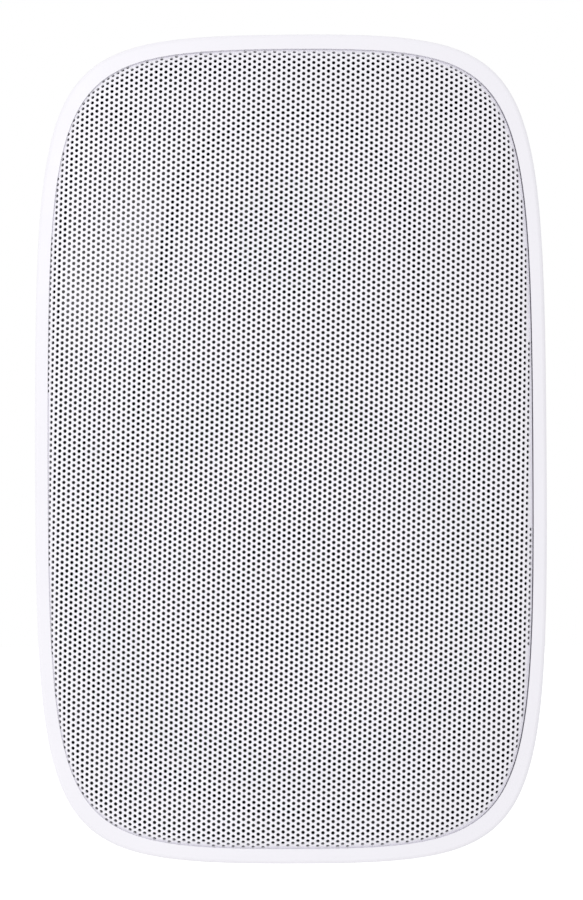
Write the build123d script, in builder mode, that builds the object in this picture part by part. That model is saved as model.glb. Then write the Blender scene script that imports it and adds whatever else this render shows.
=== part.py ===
"""Outdoor patio speaker: moulded cabinet, bowed grille, two-way drivers and rear terminals.

The front faces -Y and +Z is up. The origin is the middle of the rear mounting face, and a height
in this file is a distance forward of that face, in millimetres.
"""

import os
from math import asin, cos, degrees, radians

from build123d import *

# Woofer and tweeter sizes that the front is built around
woofer_flange_radius = 78.0
woofer_side_gap = 3.0
tweeter_plate_radius = 38.0
driver_gap = 12.5
bottom_gap = 16.5
top_gap = 29.75

# Cabinet: walls, the step behind the rim and the reach from the mounting face to the grille
wall = 4.0
rim_step = 5.0
overall_depth = 165.0

# Outline of the front: how far towards its corner each quarter reaches, as a share of the straight sides
corner_fullness = 0.97

# Bow of the front face, from side to side and from top to bottom
face_bow_across = 700.0
face_bow_upright = 3500.0

# Rim: its visible width, its rounded edges and how far it stands proud of the grille
rim_side = 4.7
rim_top = 5.3
rim_round = 1.5
rim_back_round = 1.6
rim_proud = 0.4
ledge_thickness = 4.0

# Grille: a pressed sheet with a rolled edge, pushed into the rim
grille_gap = 0.3
grille_sheet = 0.8
grille_roll = 2.2

# Openings of the grille, in staggered columns, and the plain sheet between them and the roll
opening_pitch = 17.0
opening_radius = 5.4
opening_edge = 1.5

# Baffle: a moulded panel with a keyhole-shaped recess for the drivers
baffle_setback = 13.0
baffle_wall = 4.0
baffle_gap = 0.5
cabinet_gasket_thickness = 1.5
recess_depth = 7.0
recess_slope = 30.0
recess_wall = 3.5
recess_floor_width = 3.5
throat_top_margin = 2.0
throat_base_radius = 53.0
throat_base_drop = 67.5
throat_blend = 8.0
woofer_flange_width = 5.5
tweeter_opening_radius = 20.0
tweeter_opening_flare = 3.0

# Screws that hold the baffle, in deep wells
screw_side_inset = 19.0
screw_end_side_inset = 31.5
screw_end_inset = 26.75
well_radius = 4.9
well_wall = 2.1
well_depth = 12.0
well_floor = 3.0
pillar_radius = 5.0
pillar_length = 60.0
pillar_rib = 3.0
baffle_screw_length = 19.0

# Common screw: shank, head and the play round the shank
screw_radius = 1.9
screw_head_radius = 3.8
screw_head_height = 2.4
screw_play = 0.3
pilot_play = 0.05

# Rear of the cabinet: the sweep of the walls, the mounting pad and its brass inserts
tub_sweep = 75.0
tub_steps = 3
rear_round = 6.0
pad_size = 84.0
pad_height = 4.0
pad_corner = 12.0
pad_margin = 16.0
rear_margin = 9.0
insert_spacing = 60.0
insert_radius = 4.5
insert_length = 12.0
insert_thread_radius = 2.5
insert_boss_radius = 7.0
insert_boss_wall = 3.0

# Terminal cup, its two binding posts and their thumb nuts
terminal_gap = 7.0
cup_width = 62.0
cup_height = 42.0
cup_corner = 8.0
cup_wall = 2.0
cup_depth = 22.8
cup_rim = 6.0
cup_play = 0.5
terminal_gasket_thickness = 0.8
cup_screw_radius = 1.4
cup_screw_head_radius = 2.6
cup_screw_head_height = 1.2
cup_screw_length = 9.0
cup_screw_inset = 3.5
cup_boss_radius = 4.0
cup_boss_height = 6.0
post_spacing = 19.0
stud_radius = 2.0
stud_tail = 6.0
collar_radius = 5.5
collar_height = 2.0
lock_nut_flat = 7.0
lock_nut_height = 2.8
thumb_nut_radius = 6.5
thumb_nut_length = 12.0
thumb_nut_gap = 0.5
thumb_nut_play = 0.05
flute_radius = 0.9
flute_count = 10
stud_overrun = 2.0

# Woofer: basket, moving cone and motor, heights counted back from the flange
woofer_gasket_thickness = 1.0
woofer_gasket_inset = 1.5
woofer_ear_reach = 2.0
woofer_ear_radius = 6.0
woofer_ear_angle = 60.0
woofer_screw_bite = 2.8
basket_sheet = 2.0
basket_mouth_inset = 6.0
basket_shelf_radius = 44.0
basket_shelf_drop = 31.5
basket_shelf_width = 8.0
basket_base_drop = 42.5
basket_bore_radius = 20.0
basket_window_count = 6
basket_window_width = 42.0
basket_window_margin = 4.0
basket_window_corner = 4.0
surround_width = 11.0
surround_sheet = 0.7
surround_lip = 3.0
cone_sheet = 0.8
cone_drop = 26.0
cap_radius = 21.0
cap_rise = 7.0
cap_sheet = 0.7
coil_bore_radius = 12.9
former_sheet = 0.3
winding_thickness = 0.7
winding_length = 12.0
former_overrun = 1.0
gap_play = 0.5
spider_roll = 3.6
spider_waves = 4
spider_sheet = 0.6
spider_lip = 2.0
plate_radius = 42.0
plate_thickness = 6.0
magnet_radius = 46.0
magnet_bore_radius = 24.0
magnet_thickness = 15.0
pole_vent_radius = 5.0
tag_width = 14.0
tag_height = 7.0
tag_thickness = 1.6
tag_blade_length = 6.0
tag_blade_width = 2.8
tag_blade_thickness = 0.8

# Tweeter: plate, dome and motor
tweeter_gasket_thickness = 1.0
tweeter_plate_thickness = 3.5
tweeter_screw_inset = 4.0
tweeter_screw_bite = 2.6
dome_radius = 12.5
dome_rise = 5.5
dome_sheet = 0.4
dome_setback = 1.5
dome_roll = 3.3
dome_lip = 1.7
tweeter_former_sheet = 0.3
tweeter_winding_thickness = 0.4
tweeter_winding_length = 5.0
tweeter_gap_play = 0.5
tweeter_top_thickness = 4.0
tweeter_motor_radius = 30.0
tweeter_magnet_bore_radius = 17.0
tweeter_magnet_thickness = 9.0
tweeter_back_thickness = 4.0

# Crossover board on posts behind the tweeter, and a pad of wadding
board_gap = 4.0
board_width = 80.0
board_thickness = 1.6
board_post_radius = 4.0
board_post_height = 10.0
board_post_inset = 6.0
board_screw_length = 8.0
large_coil_radius = 16.0
large_coil_bore_radius = 7.0
large_coil_length = 12.0
small_coil_radius = 11.0
small_coil_bore_radius = 5.0
small_coil_length = 10.0
capacitor_radius = 6.0
capacitor_length = 26.0
resistor_side = 9.0
resistor_length = 26.0
part_column = 16.0
part_margin = 6.0
part_gap = 1.5
wadding_width = 78.0
wadding_height = 40.0
wadding_thickness = 20.0
wadding_round = 6.0

# Sizes of the front that follow from the drivers
overall_width = 2 * (woofer_flange_radius + woofer_side_gap + wall + rim_step)
driver_spacing = woofer_flange_radius + driver_gap + tweeter_plate_radius
overall_height = bottom_gap + woofer_flange_radius + driver_spacing + tweeter_plate_radius + top_gap
woofer_z = bottom_gap + woofer_flange_radius - overall_height / 2
tweeter_z = woofer_z + driver_spacing
lip_width = overall_width - 2 * rim_side
lip_height = overall_height - 2 * rim_top
grille_width = lip_width - 2 * grille_gap
grille_height = lip_height - 2 * grille_gap
inside_width = overall_width - 2 * (rim_step + wall)
inside_height = overall_height - 2 * (rim_step + wall)
woofer_opening_radius = woofer_flange_radius - woofer_flange_width
recess_radius = woofer_opening_radius + recess_floor_width
throat_base_z = tweeter_z - throat_base_drop

# Heights of the stack behind the grille
baffle_front = overall_depth - baffle_setback
baffle_back = baffle_front - baffle_wall
ledge = baffle_back - cabinet_gasket_thickness
tub_front = ledge - ledge_thickness
floor_front = baffle_front - recess_depth
floor_back = floor_front - recess_wall
well_seat = baffle_front - well_depth
well_back = well_seat - well_floor

# Heights and radii of the woofer
surround_seat = floor_back - woofer_gasket_thickness - surround_sheet
flange_back = surround_seat - basket_sheet
shelf_front = surround_seat - basket_shelf_drop
shelf_back = shelf_front - basket_sheet
base_front = surround_seat - basket_base_drop
base_back = base_front - basket_sheet
magnet_back = base_back - plate_thickness - magnet_thickness
woofer_gasket_radius = woofer_flange_radius - woofer_gasket_inset
basket_mouth_radius = woofer_flange_radius - basket_mouth_inset
window_depth = basket_mouth_radius - basket_shelf_radius - 2 * basket_window_margin
window_middle = (basket_mouth_radius + basket_shelf_radius) / 2
cone_radius = basket_mouth_radius - surround_width
cone_neck = surround_seat - cone_drop
former_radius = coil_bore_radius + former_sheet
cone_rise = (cone_drop - cone_sheet) / (cone_radius - surround_lip - former_radius)
cap_seat = cone_neck + cone_sheet + (cap_radius - former_radius) * cone_rise
winding_low = base_back - plate_thickness / 2 - winding_length / 2

# Heights and radii of the tweeter
tweeter_seat = floor_back - tweeter_gasket_thickness
tweeter_plate_back = tweeter_seat - tweeter_plate_thickness
dome_seat = tweeter_seat - dome_setback
dome_lip_radius = dome_radius + dome_roll + dome_lip
tweeter_top_back = tweeter_plate_back - tweeter_top_thickness
tweeter_magnet_back = tweeter_top_back - tweeter_magnet_thickness
tweeter_winding_low = tweeter_plate_back - tweeter_top_thickness / 2 - tweeter_winding_length / 2

# Sizes of the rear that follow from the pad and the terminal cup
cup_flange_width = cup_width + 2 * cup_rim
cup_flange_height = cup_height + 2 * cup_rim
terminal_z = -(pad_size / 2 + terminal_gap + cup_flange_height / 2)
rear_width = pad_size + 2 * pad_margin
rear_height = 2 * (pad_size / 2 + terminal_gap + cup_flange_height + rear_margin)
tub_rear = pad_height
rear_inside = tub_rear + wall
flange_front = tub_rear - terminal_gasket_thickness
flange_rear = flange_front - cup_wall
cup_floor = flange_rear + cup_depth
collar_rear = cup_floor - collar_height
nut_rear = collar_rear - thumb_nut_gap - thumb_nut_length
stud_rear = nut_rear - stud_overrun
stud_front = cup_floor + cup_wall + stud_tail
board_back = rear_inside + board_post_height
board_front = board_back + board_thickness

# Screw places
side_x = overall_width / 2 - screw_side_inset
end_x = overall_width / 2 - screw_end_side_inset
end_z = overall_height / 2 - screw_end_inset
baffle_screw_points = [(side * side_x, 0) for side in (-1, 1)]
baffle_screw_points += [(side * end_x, end * end_z) for side in (-1, 1) for end in (-1, 1)]
cup_screw_x = cup_flange_width / 2 - cup_screw_inset
cup_screw_z = cup_flange_height / 2 - cup_screw_inset
woofer_ear_circle = woofer_flange_radius + woofer_ear_reach
woofer_ear_angles = [woofer_ear_angle, 180 - woofer_ear_angle, 180 + woofer_ear_angle, -woofer_ear_angle]
tweeter_screw_circle = tweeter_plate_radius - tweeter_screw_inset
tweeter_screw_angles = [45, 135, 225, 315]

# Section planes through the driver axes: across is a radius, up is a height
woofer_section = Plane(origin=(0, 0, woofer_z), x_dir=(1, 0, 0), z_dir=(0, 0, -1))
tweeter_section = Plane(origin=(0, 0, tweeter_z), x_dir=(1, 0, 0), z_dir=(0, 0, -1))
woofer_axis = Axis((0, 0, woofer_z), (0, -1, 0))
tweeter_axis = Axis((0, 0, tweeter_z), (0, -1, 0))


def upright(height):
    """Upright plane that faces forward at this height."""
    return Plane.XZ.offset(height)


def barrel(width, height):
    """Outline whose four quarters sweep from a bowed side round the corner into a bowed end."""
    side = width / 2
    end = height / 2
    with BuildLine() as outline:
        for across, up in ((1, 1), (-1, 1), (-1, -1), (1, -1)):
            Bezier(
                (across * side, 0),
                (across * side, up * end * corner_fullness),
                (across * side * corner_fullness, up * end),
                (0, up * end),
            )
    make_face(outline.edges())


def ring(section, axis, inner, outer, low, high, mode=Mode.ADD):
    """Turned ring between two radii and two heights."""
    with BuildSketch(section) as profile:
        with Locations(((inner + outer) / 2, (low + high) / 2)):
            Rectangle(outer - inner, high - low)
    revolve(profile.sketch, axis=axis, mode=mode)


def thin_cap(section, axis, radius, rise, sheet, base):
    """Turned dome of thin sheet that stands on the base height."""
    ball = (radius**2 + rise**2) / (2 * rise)
    with BuildSketch(section) as profile:
        with Locations((0, base + rise - ball)):
            Circle(ball)
            Circle(ball - sheet, mode=Mode.SUBTRACT)
        with Locations((radius / 2, base + rise / 2)):
            Rectangle(radius, rise, mode=Mode.INTERSECT)
    revolve(profile.sketch, axis=axis)


def half_roll(section, axis, inner, outer, inner_lip, outer_lip, sheet, seat):
    """Turned half roll of thin sheet between two flat lips."""
    middle = (inner + outer) / 2
    roll = (outer - inner) / 2
    reach = inner_lip + outer - inner + outer_lip
    lip_middle = inner - inner_lip + reach / 2
    with BuildSketch(section) as profile:
        with Locations((middle, seat)):
            Circle(roll)
        with Locations((lip_middle, seat + sheet / 2)):
            Rectangle(reach, sheet)
        with Locations((middle, seat)):
            Circle(roll - sheet, mode=Mode.SUBTRACT)
        with Locations((lip_middle, seat + roll / 2)):
            Rectangle(reach, roll, mode=Mode.INTERSECT)
    revolve(profile.sketch, axis=axis)


def bars(height, points, radius, length, mode=Mode.ADD):
    """Round bars that run forward from one height, or back where the length is negative."""
    with BuildSketch(upright(height)) as ends:
        with Locations(*points):
            Circle(radius)
    extrude(ends.sketch, amount=length, mode=mode)


def screws(seat, points, length, radius, head_radius, head_height):
    """Screws with their heads on one height, driven forward, or back where the length is negative."""
    bars(seat, points, radius, length)
    bars(seat, points, head_radius, -head_height if length > 0 else head_height)


def around(centre_z, radius, angles):
    """Points on a circle about a driver axis."""
    spokes = [Vector(radius, 0).rotate(Axis.Z, angle) for angle in angles]
    return [(spoke.X, centre_z + spoke.Y) for spoke in spokes]


def finish(piece, name):
    """Label a finished piece and write it."""
    piece.part.label = name
    export_step(piece.part, f"parts/{name}.step")


os.makedirs("parts", exist_ok=True)
woofer_ear_points = around(woofer_z, woofer_ear_circle, woofer_ear_angles)
tweeter_screw_points = around(tweeter_z, tweeter_screw_circle, tweeter_screw_angles)
cup_screw_points = [
    (side * cup_screw_x, terminal_z + end * cup_screw_z) for side in (-1, 1) for end in (-1, 1)
]
post_points = [(side * post_spacing / 2, terminal_z) for side in (-1, 1)]
insert_points = [
    (side * insert_spacing / 2, end * insert_spacing / 2) for side in (-1, 1) for end in (-1, 1)
]
board_low = insert_spacing / 2 + insert_boss_radius + board_gap
board_height = rear_height / 2 - wall - board_gap - board_low
board_z = board_low + board_height / 2
board_post_points = [
    (side * (board_width / 2 - board_post_inset), board_z + end * (board_height / 2 - board_post_inset))
    for side in (-1, 1)
    for end in (-1, 1)
]

# Space behind the bowed front face, for trimming the grille and the rim
bow_reach = degrees(asin(overall_height / face_bow_upright))
bow_centre = Plane(origin=(0, face_bow_upright - overall_depth, 0)).rotated((-bow_reach, 0, 0))
with BuildPart() as bowed_face:
    with BuildSketch(bow_centre):
        with Locations((0, face_bow_across - face_bow_upright)):
            Circle(face_bow_across)
        with Locations((0, overall_depth / 2 - face_bow_upright)):
            Rectangle(2 * overall_width, overall_depth, mode=Mode.INTERSECT)
    revolve(axis=Axis((0, face_bow_upright - overall_depth, 0), (1, 0, 0)), revolution_arc=2 * bow_reach)


def bowed_block(width, height, back, apex, edge_round):
    """Barrel-shaped block from the back height to the bowed face, with its front edge rounded."""
    with BuildSketch(upright(back)) as outline:
        barrel(width, height)
    extrude(outline.sketch, amount=overall_depth - back + rim_proud)
    add(Pos(0, overall_depth - apex, 0) * bowed_face.part, mode=Mode.INTERSECT)
    fillet(faces().sort_by(Axis.Y)[0].edges(), edge_round)


def tub(shrink, rear):
    """Body of the cabinet behind the rim, drawn in towards the rear."""
    front_width = overall_width - 2 * rim_step
    front_height = overall_height - 2 * rim_step
    sections = []
    for step in range(tub_steps + 1):
        height = tub_front - (tub_front - rear) * step / tub_steps
        share = (tub_front - height) / (tub_front - tub_rear)
        drawn_in = (1 - cos(radians(tub_sweep * share))) / (1 - cos(radians(tub_sweep)))
        with BuildSketch(upright(height)) as section:
            barrel(
                front_width + (rear_width - front_width) * drawn_in - 2 * shrink,
                front_height + (rear_height - front_height) * drawn_in - 2 * shrink,
            )
        sections.append(section.sketch)
    loft(sections)


# Hollow of the cabinet, less the pillars, bosses and posts that stand in it
with BuildPart() as hollow:
    tub(wall, rear_inside)
    with BuildSketch(upright(tub_front)):
        barrel(inside_width, inside_height)
    extrude(amount=ledge_thickness)
    bars(well_back, baffle_screw_points, pillar_radius, -pillar_length, mode=Mode.SUBTRACT)
    with BuildSketch(upright(well_back)):
        for point_x, point_z in baffle_screw_points:
            reach = screw_side_inset if point_x > 0 else -screw_side_inset
            with Locations((point_x + reach / 2, point_z)):
                Rectangle(screw_side_inset, pillar_rib)
    extrude(amount=-pillar_length, mode=Mode.SUBTRACT)
    insert_boss_height = insert_length + insert_boss_wall - rear_inside
    bars(rear_inside, insert_points, insert_boss_radius, insert_boss_height, mode=Mode.SUBTRACT)
    bars(rear_inside, cup_screw_points, cup_boss_radius, cup_boss_height, mode=Mode.SUBTRACT)
    bars(rear_inside, board_post_points, board_post_radius, board_post_height, mode=Mode.SUBTRACT)

with BuildPart() as cabinet:
    bowed_block(overall_width, overall_height, tub_front, overall_depth + rim_proud, rim_round)
    fillet(faces().sort_by(Axis.Y)[-1].edges(), rim_back_round)
    tub(0, tub_rear)
    fillet(faces().sort_by(Axis.Y)[-1].edges(), rear_round)
    with BuildSketch(upright(0)):
        RectangleRounded(pad_size, pad_size, pad_corner)
    extrude(amount=tub_rear)
    with BuildSketch(upright(ledge)):
        barrel(lip_width, lip_height)
    extrude(amount=overall_depth, mode=Mode.SUBTRACT)
    add(hollow.part, mode=Mode.SUBTRACT)
    with BuildSketch(upright(0)):
        with Locations((0, terminal_z)):
            RectangleRounded(cup_width + 2 * cup_play, cup_height + 2 * cup_play, cup_corner + cup_play)
    extrude(amount=rear_inside, mode=Mode.SUBTRACT)
    bars(well_back, baffle_screw_points, screw_radius + pilot_play, -baffle_screw_length, mode=Mode.SUBTRACT)
    bars(0, insert_points, insert_radius, insert_length, mode=Mode.SUBTRACT)
    bars(tub_rear, cup_screw_points, cup_screw_radius + pilot_play, cup_screw_length, mode=Mode.SUBTRACT)
    bars(board_back, board_post_points, screw_radius + pilot_play, -board_screw_length, mode=Mode.SUBTRACT)
finish(cabinet, "cabinet")

with BuildPart() as mount_inserts:
    bars(0, insert_points, insert_radius, insert_length)
    bars(0, insert_points, insert_thread_radius, insert_length, mode=Mode.SUBTRACT)
finish(mount_inserts, "mount_inserts")

with BuildPart() as cabinet_gasket:
    with BuildSketch(upright(ledge)):
        barrel(lip_width - 2 * baffle_gap, lip_height - 2 * baffle_gap)
    extrude(amount=cabinet_gasket_thickness)
    with BuildSketch(upright(ledge)):
        barrel(inside_width, inside_height)
    extrude(amount=cabinet_gasket_thickness, mode=Mode.SUBTRACT)
finish(cabinet_gasket, "cabinet_gasket")


def keyhole(grow):
    """Outline of the recess round both drivers, grown by a margin."""
    with Locations((0, tweeter_z)):
        Circle(tweeter_plate_radius + throat_top_margin + grow)
    with Locations((0, throat_base_z)):
        Circle(throat_base_radius + grow)
    make_hull()
    with Locations((0, woofer_z)):
        Circle(recess_radius + grow)
    waist = vertices().filter_by_position(Axis.Y, (woofer_z + throat_base_z) / 2, throat_base_z)
    fillet(waist, throat_blend)


with BuildPart() as front_baffle:
    with BuildSketch(upright(baffle_front)):
        barrel(lip_width - 2 * baffle_gap, lip_height - 2 * baffle_gap)
    extrude(amount=-baffle_wall)
    with BuildSketch(upright(baffle_front)):
        keyhole(recess_wall)
    extrude(amount=floor_back - baffle_front)
    bars(floor_back, woofer_ear_points, woofer_ear_radius, baffle_front - floor_back)
    bars(well_back, baffle_screw_points, well_radius + well_wall, baffle_front - well_back)
    with BuildSketch(upright(floor_front)):
        keyhole(0)
    extrude(amount=recess_depth, taper=-recess_slope, mode=Mode.SUBTRACT)
    bars(floor_back, [(0, woofer_z)], woofer_opening_radius, recess_wall, mode=Mode.SUBTRACT)
    bars(floor_back, [(0, tweeter_z)], tweeter_opening_radius, recess_wall, mode=Mode.SUBTRACT)
    opening_edges = edges().filter_by(GeomType.CIRCLE).filter_by_position(Axis.Y, -floor_front, -floor_front)
    tweeter_edges = opening_edges.filter_by(lambda edge: edge.radius == tweeter_opening_radius)
    chamfer(tweeter_edges, tweeter_opening_flare)
    bars(well_seat, baffle_screw_points, well_radius, well_depth, mode=Mode.SUBTRACT)
    bars(well_back, baffle_screw_points, screw_radius + screw_play, well_floor, mode=Mode.SUBTRACT)
    bars(floor_back, woofer_ear_points, screw_radius + pilot_play, woofer_screw_bite, mode=Mode.SUBTRACT)
    bars(floor_back, tweeter_screw_points, screw_radius + pilot_play, tweeter_screw_bite, mode=Mode.SUBTRACT)
finish(front_baffle, "front_baffle")

with BuildPart() as baffle_screws:
    screws(well_seat, baffle_screw_points, -baffle_screw_length, screw_radius, screw_head_radius,
           screw_head_height)
finish(baffle_screws, "baffle_screws")

# Inside of the pressed grille
with BuildPart() as grille_core:
    bowed_block(
        grille_width - 2 * grille_sheet,
        grille_height - 2 * grille_sheet,
        baffle_front,
        overall_depth - grille_sheet,
        grille_roll - grille_sheet,
    )


def staggered(width, height, pitch):
    """Points of the staggered columns that lie within a barrel outline."""
    with BuildSketch() as field:
        barrel(width, height)
    column_step = pitch * cos(radians(30))
    columns = int(width / 2 / column_step)
    rows = int(height / 2 / pitch) + 1
    points = [
        (column * column_step, (row + column % 2 / 2) * pitch)
        for column in range(-columns, columns + 1)
        for row in range(-rows, rows + 1)
    ]
    return [point for point in points if field.face().is_inside((*point, 0))]


opening_margin = grille_roll + opening_edge + opening_radius
opening_points = staggered(grille_width - 2 * opening_margin, grille_height - 2 * opening_margin, opening_pitch)
with BuildPart() as grille:
    bowed_block(grille_width, grille_height, baffle_front, overall_depth, grille_roll)
    add(grille_core.part, mode=Mode.SUBTRACT)
    bars(baffle_front, opening_points, opening_radius, baffle_setback, mode=Mode.SUBTRACT)
finish(grille, "grille")

with BuildPart() as woofer_gasket:
    ring(woofer_section, woofer_axis, woofer_opening_radius, woofer_gasket_radius,
         surround_seat + surround_sheet, floor_back)
finish(woofer_gasket, "woofer_gasket")

with BuildPart() as woofer_basket:
    with BuildSketch(woofer_section):
        with BuildLine():
            Polyline(
                (basket_mouth_radius, surround_seat),
                (basket_shelf_radius, shelf_front),
                (basket_shelf_radius - basket_shelf_width, shelf_front),
                (basket_shelf_radius - basket_shelf_width, base_front),
                (basket_bore_radius, base_front),
                (basket_bore_radius, base_back),
                (basket_shelf_radius - basket_shelf_width + basket_sheet, base_back),
                (basket_shelf_radius - basket_shelf_width + basket_sheet, shelf_back),
                (basket_shelf_radius + basket_sheet, shelf_back),
                (basket_mouth_radius + basket_sheet, flange_back),
                (woofer_flange_radius, flange_back),
                (woofer_flange_radius, surround_seat),
                close=True,
            )
        make_face()
    revolve(axis=woofer_axis)
    bars(surround_seat, woofer_ear_points, woofer_ear_radius, -basket_sheet)
    bars(surround_seat, woofer_ear_points, screw_radius + screw_play, -basket_sheet, mode=Mode.SUBTRACT)
    with BuildSketch(upright(surround_seat)):
        with Locations((0, woofer_z)):
            with PolarLocations(window_middle, basket_window_count):
                RectangleRounded(window_depth, basket_window_width, basket_window_corner)
    extrude(amount=shelf_back - surround_seat, mode=Mode.SUBTRACT)
finish(woofer_basket, "woofer_basket")

with BuildPart() as woofer_surround:
    half_roll(woofer_section, woofer_axis, cone_radius, basket_mouth_radius, surround_lip,
              woofer_gasket_radius - basket_mouth_radius, surround_sheet, surround_seat)
finish(woofer_surround, "woofer_surround")

with BuildPart() as woofer_cone:
    with BuildSketch(woofer_section):
        with BuildLine():
            Polyline(
                (former_radius, cone_neck),
                (cone_radius - surround_lip, surround_seat - cone_sheet),
                (cone_radius, surround_seat - cone_sheet),
                (cone_radius, surround_seat),
                (cone_radius - surround_lip, surround_seat),
                (former_radius, cone_neck + cone_sheet),
                close=True,
            )
        make_face()
    revolve(axis=woofer_axis)
finish(woofer_cone, "woofer_cone")

with BuildPart() as woofer_dust_cap:
    thin_cap(woofer_section, woofer_axis, cap_radius, cap_rise, cap_sheet, cap_seat)
finish(woofer_dust_cap, "woofer_dust_cap")

with BuildPart() as woofer_coil_former:
    ring(woofer_section, woofer_axis, coil_bore_radius, former_radius, winding_low - former_overrun,
         cone_neck + cone_sheet)
finish(woofer_coil_former, "woofer_coil_former")

with BuildPart() as woofer_voice_coil:
    ring(woofer_section, woofer_axis, former_radius, former_radius + winding_thickness, winding_low,
         winding_low + winding_length)
finish(woofer_voice_coil, "woofer_voice_coil")

with BuildPart() as woofer_spider:
    spider_middle = shelf_front + spider_sheet / 2
    wave = (basket_shelf_radius - basket_shelf_width - former_radius - spider_lip) / spider_waves
    with BuildSketch(woofer_section):
        with BuildLine():
            crest = former_radius + spider_lip
            Line((former_radius, spider_middle), (crest, spider_middle))
            for turn in range(spider_waves):
                bend = spider_roll if turn % 2 else -spider_roll
                start = crest + turn * wave
                RadiusArc((start, spider_middle), (start + wave, spider_middle), bend)
            Line((crest + spider_waves * wave, spider_middle), (basket_shelf_radius, spider_middle))
        trace(line_width=spider_sheet)
    revolve(axis=woofer_axis)
finish(woofer_spider, "woofer_spider")

with BuildPart() as woofer_top_plate:
    ring(woofer_section, woofer_axis, former_radius + winding_thickness + gap_play, plate_radius,
         base_back - plate_thickness, base_back)
finish(woofer_top_plate, "woofer_top_plate")

with BuildPart() as woofer_magnet:
    ring(woofer_section, woofer_axis, magnet_bore_radius, magnet_radius, magnet_back,
         base_back - plate_thickness)
finish(woofer_magnet, "woofer_magnet")

with BuildPart() as woofer_yoke:
    yoke_back = magnet_back - plate_thickness
    ring(woofer_section, woofer_axis, pole_vent_radius, plate_radius, yoke_back, magnet_back)
    ring(woofer_section, woofer_axis, pole_vent_radius, coil_bore_radius - gap_play, magnet_back, base_back)
finish(woofer_yoke, "woofer_yoke")

with BuildPart() as woofer_tags:
    tag_z = woofer_z + basket_shelf_radius - basket_sheet
    with BuildSketch(upright(shelf_back)):
        with Locations((0, tag_z)):
            Rectangle(tag_width, tag_height)
    extrude(amount=-tag_thickness)
    with BuildSketch(upright(shelf_back - tag_thickness)):
        with Locations((0, tag_z)):
            with GridLocations(tag_width / 2, 0, 2, 1):
                Rectangle(tag_blade_width, tag_blade_thickness)
    extrude(amount=-tag_blade_length)
finish(woofer_tags, "woofer_tags")

with BuildPart() as woofer_screws:
    screws(flange_back, woofer_ear_points, floor_back - flange_back + woofer_screw_bite, screw_radius,
           screw_head_radius, screw_head_height)
finish(woofer_screws, "woofer_screws")

with BuildPart() as tweeter_gasket:
    seal = tweeter_opening_radius, tweeter_motor_radius, tweeter_seat, floor_back
    ring(tweeter_section, tweeter_axis, *seal)
finish(tweeter_gasket, "tweeter_gasket")

with BuildPart() as tweeter_plate:
    ring(tweeter_section, tweeter_axis, dome_radius + dome_roll, tweeter_plate_radius, tweeter_plate_back,
         tweeter_seat)
    ring(tweeter_section, tweeter_axis, 0, dome_lip_radius + screw_play, dome_seat, tweeter_seat,
         mode=Mode.SUBTRACT)
    bars(tweeter_plate_back, tweeter_screw_points, screw_radius + screw_play, tweeter_plate_thickness,
         mode=Mode.SUBTRACT)
finish(tweeter_plate, "tweeter_plate")

with BuildPart() as tweeter_dome:
    thin_cap(tweeter_section, tweeter_axis, dome_radius, dome_rise, dome_sheet, dome_seat)
finish(tweeter_dome, "tweeter_dome")

with BuildPart() as tweeter_surround:
    roll_outer = dome_radius + dome_roll
    half_roll(tweeter_section, tweeter_axis, dome_radius, roll_outer, 0, dome_lip, dome_sheet, dome_seat)
finish(tweeter_surround, "tweeter_surround")

with BuildPart() as tweeter_coil:
    ring(tweeter_section, tweeter_axis, dome_radius - tweeter_former_sheet, dome_radius,
         tweeter_winding_low, dome_seat)
    ring(tweeter_section, tweeter_axis, dome_radius, dome_radius + tweeter_winding_thickness,
         tweeter_winding_low, tweeter_winding_low + tweeter_winding_length)
finish(tweeter_coil, "tweeter_coil")

with BuildPart() as tweeter_top_plate:
    ring(tweeter_section, tweeter_axis, dome_radius + tweeter_winding_thickness + tweeter_gap_play,
         tweeter_motor_radius, tweeter_top_back, tweeter_plate_back)
finish(tweeter_top_plate, "tweeter_top_plate")

with BuildPart() as tweeter_magnet:
    ring(tweeter_section, tweeter_axis, tweeter_magnet_bore_radius, tweeter_motor_radius,
         tweeter_magnet_back, tweeter_top_back)
finish(tweeter_magnet, "tweeter_magnet")

with BuildPart() as tweeter_yoke:
    tweeter_back = tweeter_magnet_back - tweeter_back_thickness
    ring(tweeter_section, tweeter_axis, 0, tweeter_motor_radius, tweeter_back, tweeter_magnet_back)
    ring(tweeter_section, tweeter_axis, 0, dome_radius - tweeter_former_sheet - tweeter_gap_play,
         tweeter_magnet_back, tweeter_plate_back)
finish(tweeter_yoke, "tweeter_yoke")

with BuildPart() as tweeter_screws:
    screws(tweeter_plate_back, tweeter_screw_points,
           floor_back - tweeter_plate_back + tweeter_screw_bite, screw_radius, screw_head_radius,
           screw_head_height)
finish(tweeter_screws, "tweeter_screws")

with BuildPart() as crossover_board:
    with BuildSketch(upright(board_back)):
        with Locations((0, board_z)):
            Rectangle(board_width, board_height)
        with Locations(*board_post_points):
            Circle(screw_radius + screw_play, mode=Mode.SUBTRACT)
    extrude(amount=board_thickness)
finish(crossover_board, "crossover_board")

with BuildPart() as board_screws:
    head = screw_head_radius, screw_head_height
    screws(board_front, board_post_points, -board_screw_length, screw_radius, *head)
finish(board_screws, "board_screws")

with BuildPart() as crossover_coils:
    large_point = [(-part_column, board_z + board_height / 2 - part_margin - large_coil_radius)]
    small_point = [(part_column, board_z + board_height / 2 - part_margin - small_coil_radius)]
    bars(board_front, large_point, large_coil_radius, large_coil_length)
    bars(board_front, small_point, small_coil_radius, small_coil_length)
    bars(board_front, large_point, large_coil_bore_radius, large_coil_length, mode=Mode.SUBTRACT)
    bars(board_front, small_point, small_coil_bore_radius, small_coil_length, mode=Mode.SUBTRACT)
finish(crossover_coils, "crossover_coils")

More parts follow.
